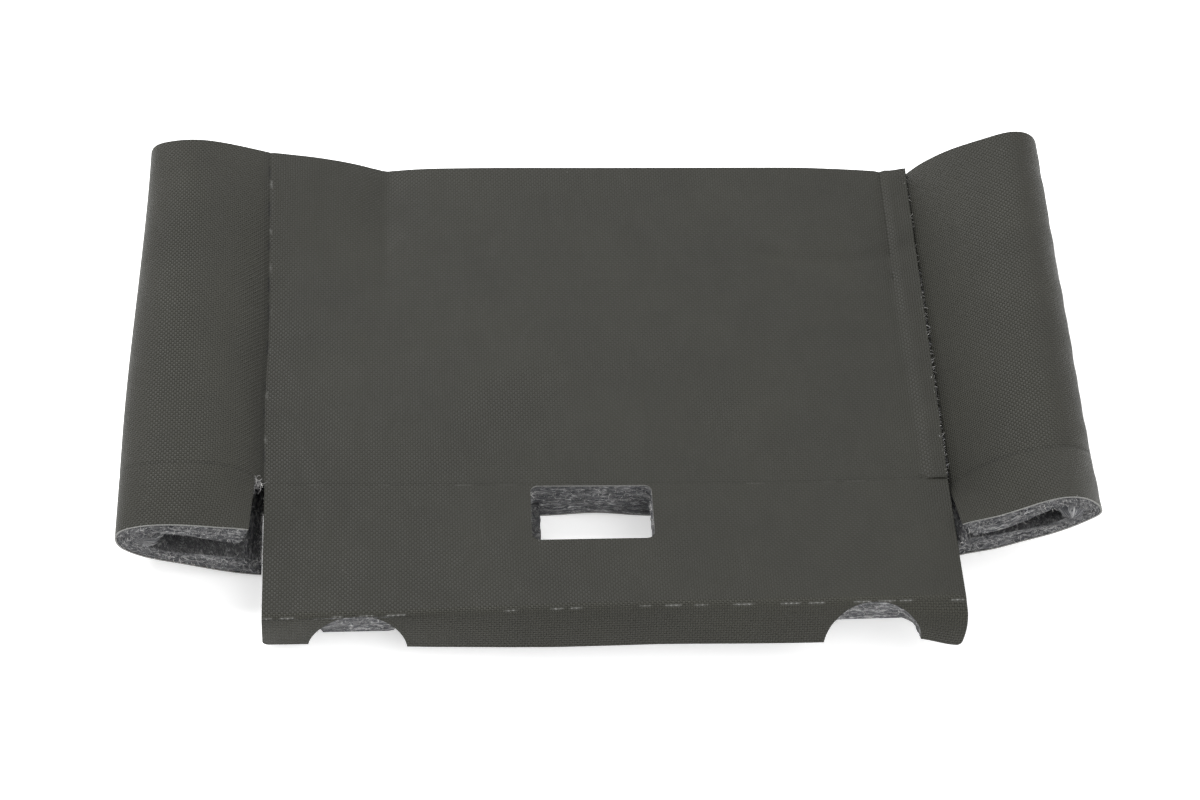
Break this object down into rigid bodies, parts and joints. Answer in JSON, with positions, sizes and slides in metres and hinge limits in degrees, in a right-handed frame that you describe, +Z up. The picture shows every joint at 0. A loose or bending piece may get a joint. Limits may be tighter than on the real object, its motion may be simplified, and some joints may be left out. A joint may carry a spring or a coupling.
{
  "type": "folding felt-lined protector sleeve",
  "caption": "Flat-folded sleeve of thick felt with a coated fabric skin: two walls, folded side wings, a windowed lid with a notched tuck flap, and short end flaps.",
  "frame": {"origin": "bottom centre of the bounding box, on the surface that the flattened sleeve lies on", "axes": "+X across the walls to the seam side, +Y from the lid to the open end, +Z up through the layers"},
  "size_m": [0.2911, 0.1814, 0.0363],
  "materials": {
    "skin": "matt coated plain weave, dark olive grey",
    "felt": "mixed-fibre grey felt with pale and dark fibres",
    "adhesive": "hot-melt adhesive film"
  },
  "bodies": {
    "back_wall": {"back_wall_felt": "felt", "back_wall_skin": "skin"},
    "left_lower": {"left_lower_felt": "felt", "left_lower_skin": "skin"},
    "left_upper": {"left_upper_felt": "felt", "left_upper_skin": "skin"},
    "front_wall": {"front_wall_felt": "felt", "front_wall_skin": "skin", "seam_lap": "felt", "seam_glue": "adhesive"},
    "right_upper": {"right_upper_felt": "felt", "right_upper_skin": "skin"},
    "right_lower": {"right_lower_felt": "felt", "right_lower_skin": "skin"},
    "lid": {"lid_felt": "felt", "lid_skin": "skin"},
    "tuck": {"tuck_felt": "felt", "tuck_skin": "skin"},
    "left_lower_dust": {"left_lower_dust_felt": "felt", "left_lower_dust_skin": "skin"},
    "left_upper_dust": {"left_upper_dust_felt": "felt", "left_upper_dust_skin": "skin"},
    "right_lower_dust": {"right_lower_dust_felt": "felt", "right_lower_dust_skin": "skin"},
    "right_upper_dust": {"right_upper_dust_felt": "felt", "right_upper_dust_skin": "skin"},
    "left_tab": {"left_tab_felt": "felt", "left_tab_skin": "skin"},
    "right_tab": {"right_tab_felt": "felt", "right_tab_skin": "skin"}
  },
  "joints": [
    {"name": "left_back_crease", "type": "hinge", "parent": "back_wall", "child": "left_lower", "pos_m": [-0.104, 0, 0], "axis": [0, 1, 0], "range_deg": [0, 60.54]},
    {"name": "left_middle_fold", "type": "hinge", "parent": "left_lower", "child": "left_upper", "pos_m": [-0.1456, 0, 0.0235], "axis": [0, -1, 0], "range_deg": [0, 159.7]},
    {"name": "left_front_crease", "type": "hinge", "parent": "left_upper", "child": "front_wall", "pos_m": [-0.104, 0, 0.0168], "axis": [0, 1, 0], "range_deg": [0, 99.16]},
    {"name": "right_front_crease", "type": "hinge", "parent": "front_wall", "child": "right_upper", "pos_m": [0.104, 0, 0.02], "axis": [0, 1, 0], "range_deg": [0, 101.95]},
    {"name": "right_back_crease", "type": "hinge", "parent": "back_wall", "child": "right_lower", "pos_m": [0.104, 0, 0], "axis": [0, -1, 0], "range_deg": [0, 55.31]},
    {"name": "lid_crease", "type": "hinge", "parent": "front_wall", "child": "lid", "pos_m": [-0.104, -0.03628, 0.0168], "axis": [-0.9999, 0, -0.0154], "range_deg": [0, 150]},
    {"name": "tuck_fold", "type": "hinge", "parent": "lid", "child": "tuck", "pos_m": [-0.10407, -0.08356, 0.02135], "axis": [-0.9999, 0, -0.0154], "range_deg": [-28.5, 61.5]},
    {"name": "left_lower_dust_crease", "type": "hinge", "parent": "left_lower", "child": "left_lower_dust", "pos_m": [-0.10754, -0.03628, -0.00627], "axis": [0.8707, 0, -0.4918], "range_deg": [0, 90]},
    {"name": "left_upper_dust_crease", "type": "hinge", "parent": "left_upper", "child": "left_upper_dust", "pos_m": [-0.10262, -0.03628, 0.02539], "axis": [-0.9873, 0, 0.159], "range_deg": [0, 90]},
    {"name": "right_lower_dust_crease", "type": "hinge", "parent": "right_lower", "child": "right_lower_dust", "pos_m": [0.10434, -0.03628, -0.00049], "axis": [0.8222, 0, 0.5692], "range_deg": [0, 90]},
    {"name": "right_upper_dust_crease", "type": "hinge", "parent": "right_upper", "child": "right_upper_dust", "pos_m": [0.10172, -0.03628, 0.03076], "axis": [-0.9783, 0, -0.207], "range_deg": [0, 90]},
    {"name": "left_tab_crease", "type": "hinge", "parent": "back_wall", "child": "left_tab", "pos_m": [-0.06, -0.03628, 0], "axis": [1, 0, 0], "range_deg": [0, 90]},
    {"name": "right_tab_crease", "type": "hinge", "parent": "back_wall", "child": "right_tab", "pos_m": [0.06, -0.03628, 0], "axis": [1, 0, 0], "range_deg": [0, 90]}
  ],
  "couplings": [
    {"joint": "left_middle_fold", "follows": "left_back_crease", "ratio": 2.6378},
    {"joint": "left_front_crease", "follows": "left_back_crease", "ratio": 1.6378},
    {"joint": "right_front_crease", "follows": "left_back_crease", "ratio": 1.684},
    {"joint": "right_back_crease", "follows": "left_back_crease", "ratio": 0.91356}
  ]
}
